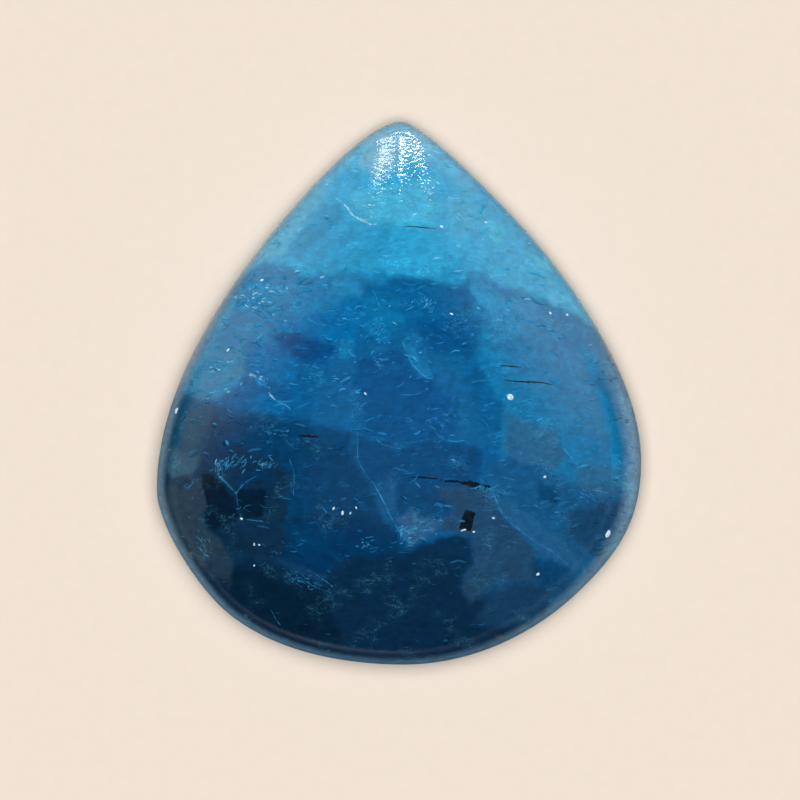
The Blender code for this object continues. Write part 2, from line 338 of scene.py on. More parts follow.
# Cracks that show as thin bright lines: (thickness in mm, brightness from 0 to 1, points as (x, y)).
BRIGHT_CRACKS = (
    (0.40, 0.95, ((-9.6, 1.2), (-9.1, 0.98), (-8.5, 0.5))),
    (0.24, 0.80, ((-9.2, 0.9), (-8.7, 0.5), (-8.2, 0.32))),
    (0.15, 0.95, ((-4.2, 12.66), (-3.4, 12.0), (-3.0, 11.45), (-2.4, 11.1), (-1.8, 10.8), (-1.4, 10.87))),
    (0.13, 0.95, ((-8.33, 0.05), (-7.9, -0.45), (-7.1, -0.85), (-6.95, -1.15))),
    (0.09, 0.55, ((0.25, 3.3), (0.75, 2.0), (1.6, 1.1), (2.15, 0.9))),
    (0.07, 0.30, ((-3.0, -1.3), (-2.65, -2.6), (-2.6, -4.2), (-2.1, -5.2), (-1.6, -5.8))),
    (0.09, 0.55, ((-1.6, -5.8), (-1.0, -6.9), (-0.3, -8.3), (0.4, -9.4))),
    (0.08, 0.30, ((6.0, -6.2), (6.3, -7.1), (6.7, -7.8), (7.4, -8.5), (8.7, -9.5), (10.0, -10.3),
                  (11.5, -11.7))),
    (0.15, 0.60, ((-11.6, -5.2), (-11.2, -5.6), (-10.5, -6.3), (-10.4, -6.45))),
    (0.09, 0.50, ((-9.1, -5.3), (-9.9, -5.8), (-10.4, -6.4))),
    (0.05, 0.35, ((-10.4, -6.4), (-10.3, -7.1), (-10.1, -8.0))),
    (0.06, 0.40, ((-12.6, -4.0), (-12.1, -4.5), (-11.7, -5.1))),
    (0.06, 0.35, ((-8.6, -6.6), (-7.6, -6.7), (-6.8, -6.8))),
    (0.06, 0.35, ((-9.8, -8.1), (-8.8, -8.2), (-8.2, -8.3))),
    (0.06, 0.40, ((-7.0, -4.2), (-6.7, -5.2), (-6.75, -6.6))),
    (0.07, 0.45, ((0.1, -0.1), (1.0, -0.1), (1.9, 0.3))),
    (0.06, 0.40, ((1.7, -1.8), (2.5, -1.5), (3.4, -1.25))),
    (0.06, 0.45, ((2.2, -2.4), (2.8, -2.9), (3.5, -3.1), (4.3, -3.0))),
    (0.06, 0.40, ((0.4, -3.2), (1.2, -3.1), (1.9, -2.9))),
    (0.07, 0.55, ((7.5, -0.6), (8.2, -0.45), (8.9, -0.15))),
    (0.08, 0.60, ((10.5, -3.5), (11.0, -4.1), (11.5, -4.7))),
    (0.05, 0.35, ((11.6, -6.0), (12.4, -6.2), (13.8, -6.5))),
    (0.09, 0.80, ((6.9, 5.9), (7.2, 5.5), (7.5, 5.3))),
    (0.06, 0.40, ((9.5, 5.6), (10.4, 5.2), (11.3, 4.6))),
    (0.06, 0.45, ((0.9, 9.3), (1.2, 8.2), (1.6, 7.4))),
    (0.05, 0.40, ((3.9, 12.2), (5.0, 12.3), (5.6, 12.4))),
    (0.08, 0.60, ((8.4, 9.2), (9.0, 8.8), (9.5, 8.4))),
    (0.05, 0.40, ((-5.6, 6.4), (-5.5, 5.4), (-5.2, 4.9))),
    (0.06, 0.50, ((-1.7, 6.6), (-1.4, 6.0), (-1.2, 5.3))),
    (0.06, 0.55, ((-5.9, 4.8), (-5.2, 4.4), (-4.6, 4.35))),
    (0.05, 0.40, ((-1.9, 3.9), (-1.2, 4.2), (-0.6, 4.3))),
    (0.06, 0.50, ((-6.6, -1.0), (-6.0, -0.75), (-5.6, -0.6))),
    (0.05, 0.45, ((3.4, 8.3), (3.7, 8.6), (4.1, 8.7))),
    (0.05, 0.40, ((6.1, 8.5), (6.6, 8.7), (7.1, 8.8))),
    (0.06, 0.40, ((-8.2, -13.9), (-7.9, -14.5), (-7.6, -14.9))),
    (0.07, 0.45, ((-5.9, -11.3), (-5.3, -11.6), (-4.6, -12.1), (-4.2, -12.4))),
)

# Knots of small cracks that run together: (x, y, half length, half width, turn in degrees, how many
# cracks, their usual turn, brightness).
CRACK_KNOTS = (
    (-8.8, 6.5, 1.7, 0.50, 10, 44, 5, 1.0),
    (-9.2, 5.6, 1.0, 0.35, 10, 26, 8, 1.1),
    (-11.8, 1.6, 1.6, 0.35, 5, 34, 8, 1.0),
    (-11.0, 0.3, 1.2, 0.30, 15, 20, 25, 0.9),
    (1.3, 5.8, 0.9, 0.30, 0, 12, 60, 0.80),
    (-8.85, 0.90, 0.85, 0.40, -25, 14, -20, 0.95),
    (-10.6, -4.45, 1.45, 0.45, 8, 46, 52, 0.80),
    (-8.55, -4.60, 0.75, 0.30, 12, 26, 35, 0.80),
    (-11.6, -4.75, 0.30, 0.55, 0, 22, 85, 0.80),
    (-9.6, 5.9, 1.25, 0.60, 8, 60, 12, 0.60),
    (-8.9, 6.9, 1.15, 0.32, 5, 34, 8, 0.60),
    (-11.9, 1.7, 1.20, 0.40, 5, 40, 5, 0.55),
    (-10.9, 0.4, 1.20, 0.40, 22, 30, 20, 0.50),
    (0.35, -8.95, 0.42, 0.62, 25, 40, 45, 0.75),
    (1.6, -8.6, 1.10, 0.50, 12, 30, 20, 0.40),
    (-1.35, 4.0, 0.85, 0.75, 0, 30, 35, 0.45),
    (6.9, 4.9, 0.95, 0.45, -45, 26, -50, 0.60),
    (2.7, -2.0, 0.70, 0.35, -15, 16, -20, 0.55),
    (2.2, 5.6, 0.90, 0.50, 0, 16, 10, 0.45),
    (-7.7, -2.5, 0.95, 0.30, 3, 18, 4, 0.40),
    (-2.1, -9.7, 0.55, 0.40, 0, 12, 20, 0.55),
    (-6.0, -12.0, 1.50, 0.55, -28, 36, -20, 0.36),
    (-12.7, -9.9, 0.80, 0.90, -50, 24, -50, 0.36),
    (-13.4, -6.0, 0.60, 0.55, 60, 18, 50, 0.40),
    (-13.0, -0.9, 0.40, 0.25, 20, 12, 20, 0.60),
    (11.9, -6.6, 0.70, 0.40, -20, 14, -25, 0.40),
    (12.6, 1.9, 0.35, 0.60, 20, 12, 30, 0.55),
    (5.9, 10.5, 0.70, 0.60, 0, 14, 0, 0.45),
    (-0.2, 9.0, 0.60, 0.50, 0, 12, 10, 0.45),
)


def linear(hex_colour):
    """An sRGB colour such as "3FA3CC" as linear red, green and blue."""
    channels = []
    for start in (0, 2, 4):
        value = int(hex_colour[start:start + 2], 16) / 255
        if value <= 0.04045:
            channels.append(value / 12.92)
        else:
            channels.append(((value + 0.055) / 1.055) ** 2.4)
    return tuple(channels)


def opaque(colour):
    """A colour with a full alpha, as a node's colour socket takes it."""
    return (*colour, 1.0)


def size_property(name, description, default):
    """A length that the user can change, in metres."""
    return bpy.props.FloatProperty(name=name, description=description, default=default, min=0.0,
                                   unit="LENGTH", precision=5)


def colour_property(name, description, hex_colour):
    """A colour that the user can change."""
    return bpy.props.FloatVectorProperty(name=name, description=description, subtype="COLOR", size=3,
                                         min=0.0, max=1.0, default=linear(hex_colour))


class StoneSizes(bpy.types.PropertyGroup):
    """How big the stone is and how it was cut."""
    length: size_property("Length", "From the broad end to the tip", STONE_BOX.y)
    width: size_property("Width", "Across the broad end", STONE_BOX.x)
    thickness: size_property("Thickness", "From the flat back to the summit of the dome", STONE_BOX.z)
    back_bevel: size_property("Back bevel", "The small bevel round the flat back", 0.40 * MM)
    girdle_top: size_property("Girdle top", "Where the upright girdle ends and the dome starts", 1.25 * MM)
    polish_wave: size_property("Polish wave", "How far the hand polish strays from a true dome", 0.012 * MM)
    polish_wave_length: size_property("Polish wave length", "From one wave of the polish to the next",
                                      3.2 * MM)


class StoneColours(bpy.types.PropertyGroup):
    """The colours of the zones in the stone, of its girdle and of what grew in it."""
    royal: colour_property("Royal", "The clear royal blue in the middle", "0C6DAB")
    # The light blues from sky to sky_low are partly the stone's own lighter blue and partly painted light,
    # of the window shining in at the tip and lighting the upper flanks.
    sky: colour_property("Sky", "The light blue upper part", "34BFF2")
    sky_light: colour_property("Sky light", "The lightest blue patches below the tip", "56D0F8")
    sky_left: colour_property("Sky left", "A slightly deeper light blue, in patches", "2CAAE0")
    flank: colour_property("Flank", "The milky left flank below the tip", "64C9F0")
    flank_dull: colour_property("Flank dull", "The duller strip inside the left flank", "20A0D5")
    # The pale tip is partly milky stone and partly a painted glow of the window's light round the tip.
    milk_and_glow: colour_property("Milk", "The milky tip", "98D2E9")
    tip_right: colour_property("Tip right", "The right side of the tip", "65CAF4")
    right_flank: colour_property("Right flank", "The bright right flank", "3FB6E6")
    sky_dull: colour_property("Sky dull", "A duller patch in the upper right", "59C6F0")
    pale: colour_property("Pale", "Small pale patches near the right flank", "52D9F9")
    sky_low: colour_property("Sky low", "Where the light part meets the royal blue", "069DD3")
    # The steel blues are partly painted reflection: the grey veil of soft lights over the upper left and
    # the right, with its sharp edge on the right.
    steel: colour_property("Steel", "The grey blue of the upper left and the right", "168CC6")
    steel_grey: colour_property("Steel grey", "Greyer patches in the upper half", "2E9FD5")
    steel_dark: colour_property("Steel dark", "The darker patches in the upper left", "0E90C9")
    # The pale left edge and the film are partly the stone's blue and partly a painted reflection: the veil
    # of a soft light over the left flank.
    left_edge: colour_property("Left edge", "The pale left edge", "46A7D4")
    painted_veil: colour_property("Film", "The milky film on the left", "3A96C5")
    cyan: colour_property("Cyan", "The clear bright patches left of the middle", "017FC3")
    deep: colour_property("Deep", "The deepest clear blue, in the upper middle", "015594")
    royal_deep: colour_property("Royal deep", "The darker royal blue", "0B71AD")
    sliver: colour_property("Sliver", "The bright sliver beside the middle crack", "1687C1")
    steel_light: colour_property("Steel light", "The lighter grey blue on the right", "0183C2")
    right_low: colour_property("Right low", "The dull blue on the lower right", "38739F")
    right_edge: colour_property("Right edge", "The blue along the right edge", "2370A3")
    ink: colour_property("Ink", "The ink blue below the middle", "1D679D")
    ink_deep: colour_property("Ink deep", "The deepest ink blue patches", "024A7A")
    dusk_blue: colour_property("Dusk blue", "The dusky blue towards the bottom", "1D4F78")
    dusk: colour_property("Dusk", "The dusky grey blue round the dark crystal", "295376")
    ink_light: colour_property("Ink light", "The lighter ink blue patch under the middle", "024D83")
    band: colour_property("Band", "The blue band beside the long crack", "2A70A3")
    navy: colour_property("Navy", "The navy blue towards the bottom", "013F6D")
    slate: colour_property("Slate", "The slate blue at the left edge", "1A5778")
    slate_pale: colour_property("Slate pale", "The paler slate patch on the left", "3D6983")
    slate_dark: colour_property("Slate dark", "The dark slate patches at the lower left", "354D5F")
    # The dark blues of the broad end are partly the stone's own deep colour and partly painted shade, far
    # from where the light comes in at the tip.
    night: colour_property("Night", "The night blue under the left half", "0F3757")
    black: colour_property("Black", "The nearly black patches on the left", "042137")
    midnight: colour_property("Midnight", "The dark blue of the broad end", "093456")
    black_blue: colour_property("Black blue", "The black blue along the lower left", "04263D")
    # The girdle's colours are partly its own matt grey blue and partly a painted reflection, palest on the
    # left and right.
    rim_and_sheen: colour_property("Rim", "The matt girdle at the bottom", "4A7390")
    side_rim_and_sheen: colour_property("Side rim", "The matt girdle on the left and right", "7499B3")
    needle: colour_property("Needle", "The dark needles and the dark crystal", "0A131B")
    rust: colour_property("Rust", "The two faint needles on the left", "0C131E")
    grain: colour_property("Grain", "The pale grains", "C2DEE8")
    crack_blue: colour_property("Crack", "A crack that catches some light", "3F9EDC")
    crack_white: colour_property("Bright crack", "A crack that catches the light full on", "C8EEFA")
    inside: colour_property("Inside", "What the light turns to on its way through the stone", "5CB4DC")


class InclusionSizes(bpy.types.PropertyGroup):
    """How many flecks there are, how big, and how far what grew in the stone stands out of it."""
    fleck_count: bpy.props.IntProperty(name="Flecks", description="Small cracks strewn over the stone",
                                       default=6500, min=0)
    fleck_length: size_property("Fleck length", "The usual length of a small crack", 0.46 * MM)
    fleck_width: size_property("Fleck width", "The usual width of a small crack", 0.10 * MM)
    stands_proud: size_property("Stands proud", "How far a crack or needle stands out of the polish",
                                0.005 * MM)
    seed: bpy.props.IntProperty(name="Seed", description="Changes how the cracks and flecks are strewn",
                                default=7)


class StudioSettings(bpy.types.PropertyGroup):
    """The camera, the floor and the lights."""
    camera_height: size_property("Camera height", "From the floor to the camera", 0.60)
    view_width: size_property("View width", "The width of the floor that the camera sees", 51.66 * MM)
    aim_x: bpy.props.FloatProperty(name="Aim x", description="Where the camera stands over the stone",
                                   default=0.065 * MM, unit="LENGTH", precision=5)
    aim_y: bpy.props.FloatProperty(name="Aim y", description="Where the camera stands over the stone",
                                   default=-0.452 * MM, unit="LENGTH", precision=5)
    floor_size: size_property("Floor size", "The side of the square floor", 4.0)
    floor_colour: colour_property("Floor colour", "Pale warm paper", "E2D4C6")
    window_power: bpy.props.FloatProperty(name="Window power", description="Power of the soft window",
                                          default=1.40, unit="POWER")
    ceiling_power: bpy.props.FloatProperty(name="Ceiling power", description="Power of the panel overhead",
                                           default=12.5, unit="POWER")
    room_colour: colour_property("Room colour", "The white room, which shows in the polish", "FFFDFA")
    room_strength: bpy.props.FloatProperty(name="Room strength", default=1.0, min=0.0,
                                           description="How bright the white room is near the horizon")


def add_node(tree, kind, settings=None, inputs=None):
    """Adds a node with its own settings, and gives its inputs their values or links. A node given as a
    value is linked by its first output."""
    node = tree.nodes.new(kind)
    for name, value in (settings or {}).items():
        setattr(node, name, value)
    for key, value in (inputs or {}).items():
        if isinstance(value, bpy.types.Node):
            value = value.outputs[0]
        if isinstance(value, bpy.types.NodeSocket):
            tree.links.new(value, node.inputs[key])
        else:
            node.inputs[key].default_value = value
    return node


def new_material(name):
    """A node material with nothing in it yet, and its tree."""
    material = bpy.data.materials.new(name)
    material.use_nodes = True
    material.node_tree.nodes.clear()
    return material, material.node_tree


def round_outline():
    """The circle that the rings turn into, in anchors that match the outline's."""
    step = math.tau / len(OUTLINE)
    handle = ROUND_RADIUS * 4 / 3 * math.tan(step / 4)
    anchors = []
    for number in range(len(OUTLINE)):
        turn = number * step
        x = SUMMIT.x + ROUND_RADIUS * math.sin(turn)
        y = SUMMIT.y + ROUND_RADIUS * math.cos(turn)
        anchors.append((x, y, -math.degrees(turn), handle, handle))
    return anchors


def heading_vector(degrees):
    """The unit direction of a heading, counted from +X towards +Y."""
    return Vector((math.cos(math.radians(degrees)), math.sin(math.radians(degrees)), 0))


def outline_points(roundness):
    """The points of an outline between the pear, at roundness 0, and the circle, at 1."""
    anchors = []
    for pear, circle in zip(OUTLINE, round_outline()):
        anchors.append([a + (b - a) * roundness for a, b in zip(pear, circle)])
    points = []
    for here, after in zip(anchors, anchors[1:] + anchors[:1]):
        start = Vector((here[0], here[1], 0))
        end = Vector((after[0], after[1], 0))
        before_end = end - heading_vector(after[2]) * after[3]
        after_start = start + heading_vector(here[2]) * here[4]
        span = interpolate_bezier(start, after_start, before_end, end, POINTS_PER_SPAN + 1)
        points += [point.to_2d() for point in span[:-1]]
    return points


def edge_width(point):
    """How far in from the girdle the steep band reaches, which changes round the hand-cut stone."""
    away = point - SUMMIT
    turn = math.atan2(away.y, away.x) - math.radians(EDGE_WIDEST_AT_DEG)
    share = (1 + math.cos(turn)) / 2
    return EDGE_WIDTH_LEAST + (EDGE_WIDTH_MOST - EDGE_WIDTH_LEAST) * share


def dome_ring(sizes, shrink, roll):
    """One ring of the dome. shrink falls from 1 at the steep band to 0 at the summit, and roll turns
    from 0 at the girdle to a quarter turn where the band ends."""
    girdle = outline_points(0)
    bands = [edge_width(point) * (1 - math.cos(roll)) / (point - SUMMIT).length for point in girdle]
    mean_size = (1 - sum(bands) / len(bands)) * shrink
    ring = []
    for foot, round_point, band in zip(girdle, outline_points(1 - mean_size**ROUNDING_POWER), bands):
        size = (1 - band) * shrink
        edge_rise = EDGE_RISE_PER_WIDTH * edge_width(foot)
        dome_rise = sizes.thickness / MM - sizes.girdle_top / MM - edge_rise
        height = sizes.girdle_top / MM + edge_rise * math.sin(roll) + dome_rise * (1 - size**DOME_POWER)
        place = SUMMIT + size * (round_point - SUMMIT)
        ring.append(Vector((place.x, place.y, height)))
    return ring


def back_rings(sizes):
    """The flat back's edge, and the foot of the girdle wall above its bevel."""
    bevel = sizes.back_bevel / MM
    girdle = outline_points(0)
    back = []
    for before, here, after in zip(girdle[-1:] + girdle[:-1], girdle, girdle[1:] + girdle[:1]):
        along = (after - before).normalized()
        back.append(Vector((here.x + along.y * bevel, here.y - along.x * bevel, 0)))
    foot = [Vector((point.x, point.y, bevel)) for point in girdle]
    return [back, foot]


def stone_rings(sizes):
    """All the rings, from the back to the last one below the summit."""
    quarter = math.pi / 2
    stack = back_rings(sizes)
    stack += [dome_ring(sizes, 1, quarter * number / EDGE_RINGS) for number in range(EDGE_RINGS)]
    stack += [dome_ring(sizes, math.cos(quarter * number / DOME_RINGS), quarter)
              for number in range(DOME_RINGS)]
    return stack


def stone_mesh(sizes):
    """The closed mesh: a flat back, walls of quads between the rings, and a fan at the summit."""
    mesh = bpy.data.meshes.new("apatite_stone")
    shape = bmesh.new()
    scale = Vector((sizes.width / OUTLINE_WIDTH, sizes.length / OUTLINE_LENGTH, MM))
    loops = [[shape.verts.new(point * scale) for point in ring] for ring in stone_rings(sizes)]
    summit = shape.verts.new(Vector((SUMMIT.x, SUMMIT.y, sizes.thickness / MM)) * scale)
    count = len(loops[0])
    shape.faces.new(loops[0])
    for lower, upper in zip(loops, loops[1:]):
        for here in range(count):
            after = (here + 1) % count
            shape.faces.new((lower[here], upper[here], upper[after], lower[after]))
    for here in range(count):
        shape.faces.new((loops[-1][here], summit, loops[-1][(here + 1) % count]))
    bmesh.ops.recalc_face_normals(shape, faces=shape.faces)
    wave_the_polish(shape, sizes)
    shape.to_mesh(mesh)
    shape.free()
    return mesh


def wave_the_polish(shape, sizes):
    """Sinks the dome by the shallow waves of a hand polish, and leaves the girdle and the back true."""
    shape.normal_update()
    for vertex in shape.verts:
        rise = min(max((vertex.co.z - sizes.girdle_top) / (1.5 * MM), 0.0), 1.0)
        wave = noise.noise(vertex.co / sizes.polish_wave_length)
        wave += 0.4 * noise.noise(vertex.co / (0.4 * sizes.polish_wave_length))
        vertex.co -= vertex.normal * sizes.polish_wave * rise * (0.5 + 0.5 * wave)


def wander(places):
    """Places as (x, y, z) in millimetres, each pushed aside by the waves of the zones' edges."""
    noise.seed_set(ZONE_SEED)
    moved = places.copy()
    for size, reach in ZONE_WAVES:
        pushes = [noise.noise_vector(Vector(place) / size) for place in places]
        moved += reach * numpy.array(pushes)
    return moved


def zone_share(places, corners, softness):
    """How much of each place the zone with these corners covers: 1 inside and 0 past its soft edge."""
    x, y = places[:, 0], places[:, 1]
    nearest = numpy.full(len(places), numpy.inf)
    inside = numpy.zeros(len(places), dtype=bool)
    for start, end in zip(corners, corners[1:] + corners[:1]):
        along = numpy.subtract(end, start)
        part = ((x - start[0]) * along[0] + (y - start[1]) * along[1]) / along.dot(along)
        part = part.clip(0, 1)
        distance = numpy.hypot(x - start[0] - part * along[0], y - start[1] - part * along[1])
        nearest = numpy.minimum(nearest, distance)
        if start[1] != end[1]:
            crossing = start[0] + (y - start[1]) * along[0] / along[1]
            inside ^= ((start[1] > y) != (end[1] > y)) & (x < crossing)
    depth = numpy.where(inside, nearest, -nearest)
    share = (depth / softness + 0.5).clip(0, 1)
    return share * share * (3 - 2 * share)


def colour_the_stone(mesh, colours):
    """Gives each vertex the colour of the zones it lies in, and says how well it is polished there."""
    places = numpy.array([vertex.co / MM for vertex in mesh.vertices])
    moved = wander(places)
    shades = numpy.empty((len(places), 4))
    shades[:] = opaque(colours.royal)
    for name, cover, softness, corners in COLOUR_ZONES:
        share = cover * zone_share(moved, corners, softness)
        shades += share[:, None] * (numpy.array(opaque(getattr(colours, name))) - shades)
    # The ground girdle is paler than the stone, partly from its grinding and partly as a painted
    # reflection, which is palest on the left and the right. It ends short of the two straight sides below
    # the tip.
    low = (1 - (places[:, 2] - RIM_LOW) / (RIM_HIGH - RIM_LOW)).clip(0, 1)
    below_tip = ((RIM_ENDS - places[:, 1]) / RIM_FADE).clip(0, 1)
    matt = ((MATT_HIGH - places[:, 2]) / (MATT_HIGH - MATT_LOW)).clip(0, 1) * below_tip
    shades[:, :3] *= 1 - (1 - MATT_TONE) * matt[:, None]
    turn = numpy.arctan2(places[:, 1] - SUMMIT.y, places[:, 0] - SUMMIT.x)
    side_sheen_share = (numpy.cos(turn) ** 2)[:, None]
    rim_and_sheen = numpy.array(opaque(colours.rim_and_sheen)) * (1 - side_sheen_share)
    rim_and_sheen = rim_and_sheen + numpy.array(opaque(colours.side_rim_and_sheen)) * side_sheen_share
    shades += (0.9 * low * below_tip)[:, None] * (rim_and_sheen - shades)
    # The fourth number of a colour is the polish: 0 on the matt girdle and 1 on the dome.
    shades[:, 3] = 1 - matt
    layer = mesh.color_attributes.new(COLOUR_LAYER, "FLOAT_COLOR", "POINT")
    layer.data.foreach_set("color", shades.ravel())


def place_in_mm(tree):
    """The place in the stone, in millimetres."""
    place = add_node(tree, "ShaderNodeTexCoord").outputs["Object"]
    return add_node(tree, "ShaderNodeVectorMath", {"operation": "SCALE"}, {0: place, "Scale": 1 / MM})


def warped(tree, place, grain, reach, detail=2.0):
    """A place that a noise of the given grain pushes aside by up to the given reach, in millimetres."""
    push = add_node(tree, "ShaderNodeTexNoise", None,
                    {"Vector": place, "Scale": 1 / grain, "Detail": detail})
    centred = add_node(tree, "ShaderNodeVectorMath", {"operation": "SUBTRACT"},
                       {0: push.outputs["Color"], 1: (0.5, 0.5, 0.5)})
    return add_node(tree, "ShaderNodeVectorMath", {"operation": "MULTIPLY_ADD"},
                    {0: centred, 1: (2 * reach, 2 * reach, 2 * reach), 2: place})


def toned(tree, colour, pattern, low, high, darkest, brightest):
    """A colour times a tone that goes from darkest to brightest as the pattern goes from low to high."""
    tone = add_node(tree, "ShaderNodeMapRange", EASED,
                    {"Value": pattern, "From Min": low, "From Max": high,
                     "To Min": darkest, "To Max": brightest})
    return add_node(tree, "ShaderNodeVectorMath", {"operation": "SCALE"}, {0: colour, "Scale": tone})


def wisps(tree, place, scale, turn, thickness, strength):
    """Thin wavering lines where a noise crosses its middle: the strength on a line and 0 away from it.
    The place is scaled and then turned."""
    shifted = add_node(tree, "ShaderNodeMapping", None,
                       {"Vector": place, "Rotation": (0, 0, math.radians(turn)), "Scale": scale})
    waves = add_node(tree, "ShaderNodeTexNoise", None,
                     {"Vector": shifted, "Scale": 1.0, "Detail": 3.0, "Roughness": 0.6, "Distortion": 0.4})
    centred = add_node(tree, "ShaderNodeMath", {"operation": "SUBTRACT"}, {0: waves, 1: 0.5})
    away = add_node(tree, "ShaderNodeMath", {"operation": "ABSOLUTE"}, {0: centred})
    return add_node(tree, "ShaderNodeMapRange", EASED,
                    {"Value": away, "From Min": 0.0, "From Max": thickness,
                     "To Min": strength, "To Max": 0.0})


def clouded(tree, colour, soft, nicked):
    """A colour that growth sectors, growth streaks and mottling make a little lighter or darker."""
    # Growth sectors, 0.2 to 0.4 mm across, each a little lighter or darker than the next.
    shifted = add_node(tree, "ShaderNodeMapping", None,
                       {"Vector": nicked, "Rotation": (0, 0, math.radians(12)), "Scale": (0.5, 0.9, 0.7)})
    sectors = add_node(tree, "ShaderNodeTexVoronoi", None, {"Vector": shifted, "Scale": 5.0})
    parts = add_node(tree, "ShaderNodeSeparateColor", None, {0: sectors.outputs["Color"]})
    tone = add_node(tree, "ShaderNodeMath", {"operation": "MULTIPLY_ADD"},
                    {0: parts.outputs["Green"], 1: 0.16, 2: 0.92})
    shaded = add_node(tree, "ShaderNodeVectorMath", {"operation": "SCALE"}, {0: colour, "Scale": tone})
    # Growth streaks along the crystal, which lies level across the stone: 0.2 mm wide, 2.5 mm long.
    shifted = add_node(tree, "ShaderNodeMapping", None,
                       {"Vector": soft, "Rotation": (0, 0, math.radians(5)), "Scale": (0.4, 5.0, 3.0)})
    streaks = add_node(tree, "ShaderNodeTexNoise", None, {"Vector": shifted, "Scale": 1.0, "Detail": 4.0})
    shaded = toned(tree, shaded, streaks, 0.30, 0.72, 0.94, 1.08)
    # Mottling, 0.6 mm across, from fine fluid drops.
    mottle = add_node(tree, "ShaderNodeTexNoise", None,
                      {"Vector": soft, "Scale": 1.6, "Detail": 7.0, "Roughness": 0.62})
    return toned(tree, shaded, mottle, 0.25, 0.75, 0.84, 1.16)


def crazed(tree, shaded, soft, nicked):
    """A colour with the hairlines of fine cracks over it, which come in patches 2 mm across."""
    patches = add_node(tree, "ShaderNodeTexNoise", None, {"Vector": soft, "Scale": 0.55, "Detail": 4.0})
    for scale, turn, thickness, low, high, strength, gain, lift in HAIRLINES:
        lines = wisps(tree, nicked, scale, turn, thickness, strength)
        patch = add_node(tree, "ShaderNodeMapRange", EASED,
                         {"Value": patches, "From Min": low, "From Max": high})
        share = add_node(tree, "ShaderNodeMath", {"operation": "MULTIPLY"}, {0: lines, 1: patch})
        changed = add_node(tree, "ShaderNodeVectorMath", {"operation": "MULTIPLY_ADD"},
                           {0: shaded, 1: gain, 2: lift})
        # A Mix node takes its two colours at 6 and 7, and gives the mixed one at 2.
        mixed = add_node(tree, "ShaderNodeMix", {"data_type": "RGBA"}, {0: share, 6: shaded, 7: changed})
        shaded = mixed.outputs[2]
    return shaded


def apatite_material(name, colours, surface, girdle):
    """Apatite in the colours of its vertices. surface has the shader's values where it is polished, and
    girdle has those which differ where it is ground."""
    material, tree = new_material(name)
    place = place_in_mm(tree)
    soft = warped(tree, place, 3.5, 0.9)
    nicked = warped(tree, place, 0.7, 0.14, 4.0)
    zones = add_node(tree, "ShaderNodeVertexColor", {"layer_name": COLOUR_LAYER})
    clouds = clouded(tree, zones.outputs["Color"], soft, nicked)
    # The last trace of the polishing cloth: ripples 0.2 mm across and a few microns deep.
    ripple = add_node(tree, "ShaderNodeTexNoise", None, {"Vector": place, "Scale": 5.0, "Detail": 1.0})
    values = {
        "Base Color": crazed(tree, clouds, soft, nicked),
        "IOR": APATITE_IOR,
        "Normal": add_node(tree, "ShaderNodeBump", None,
                           {"Height": ripple, "Distance": 0.009 * MM, "Strength": 1.0}),
        **surface,
    }
    for key, ground in girdle.items():
        values[key] = add_node(tree, "ShaderNodeMapRange", EASED,
                               {"Value": zones.outputs["Alpha"], "To Min": ground, "To Max": surface[key]})
    shader = add_node(tree, "ShaderNodeBsdfPrincipled", None, values)
    absorber = add_node(tree, "ShaderNodeVolumeAbsorption", None,
                        {"Color": opaque(colours.inside), "Density": ABSORPTION})
    add_node(tree, "ShaderNodeOutputMaterial", None, {"Surface": shader, "Volume": absorber})
    return material


def polished_apatite(colours):
    """Blue apatite, cut and polished by hand, with a ground girdle.

    The polish gives sharp mirror glints. The light goes into the stone and comes back coloured by
    clouds, crystal streaks and small healed cracks, so it looks deep where it is clear. The girdle is
    matt, and too cloudy to see through."""
    surface = {
        "Roughness": POLISH_ROUGHNESS,
        "Specular IOR Level": POLISH_GLOSS,
        "Transmission Weight": STONE_CLEARNESS,
    }
    girdle = {
        "Roughness": GIRDLE_ROUGHNESS,
        "Specular IOR Level": 0.0,
        "Transmission Weight": GIRDLE_CLEARNESS * STONE_CLEARNESS,
    }
    return apatite_material("polished_blue_apatite", colours, surface, girdle)


def gas_filled_crack(name, colours):
    """A crack in apatite that gas fills, cut open by the polish.

    Its walls throw the light straight back, so it is opaque and mostly paler than the stone, and being
    broken and not polished they have little gloss."""
    surface = {
        "Roughness": POLISH_ROUGHNESS,
        "Specular IOR Level": CRACK_GLOSS,
        "Transmission Weight": 0.0,
    }
    return apatite_material(name, colours, surface, {})


def white_calcite(colour):
    """White calcite, cut level with the stone: a pale and slightly satin spot."""
    material, tree = new_material("white_calcite")
    # Cleavage steps in the cut, 0.12 mm across.
    steps = add_node(tree, "ShaderNodeTexNoise", None,
                     {"Vector": place_in_mm(tree), "Scale": 8.0, "Detail": 3.0})
    shaded = toned(tree, colour, steps, 0.3, 0.7, 0.7, 1.15)
    shader = add_node(tree, "ShaderNodeBsdfPrincipled", None,
                      {"Base Color": shaded, "Roughness": 0.3, "IOR": CALCITE_IOR})
    add_node(tree, "ShaderNodeOutputMaterial", None, {"Surface": shader})
    return material


def black_tourmaline(name, colour):
    """Black tourmaline, cut level with the stone: almost no colour, and a glassy gloss."""
    material, tree = new_material(name)
    # Ribs along the crystal, 0.1 mm apart.
    shifted = add_node(tree, "ShaderNodeMapping", None,
                       {"Vector": place_in_mm(tree), "Scale": (1.5, 9.0, 1.0)})
    ribs = add_node(tree, "ShaderNodeTexNoise", None, {"Vector": shifted, "Scale": 1.0, "Detail": 2.0})
    shaded = toned(tree, colour, ribs, 0.3, 0.7, 0.5, 2.0)
    shader = add_node(tree, "ShaderNodeBsdfPrincipled", None,
                      {"Base Color": shaded, "Roughness": 0.15, "IOR": TOURMALINE_IOR})
    add_node(tree, "ShaderNodeOutputMaterial", None, {"Surface": shader})
    return material


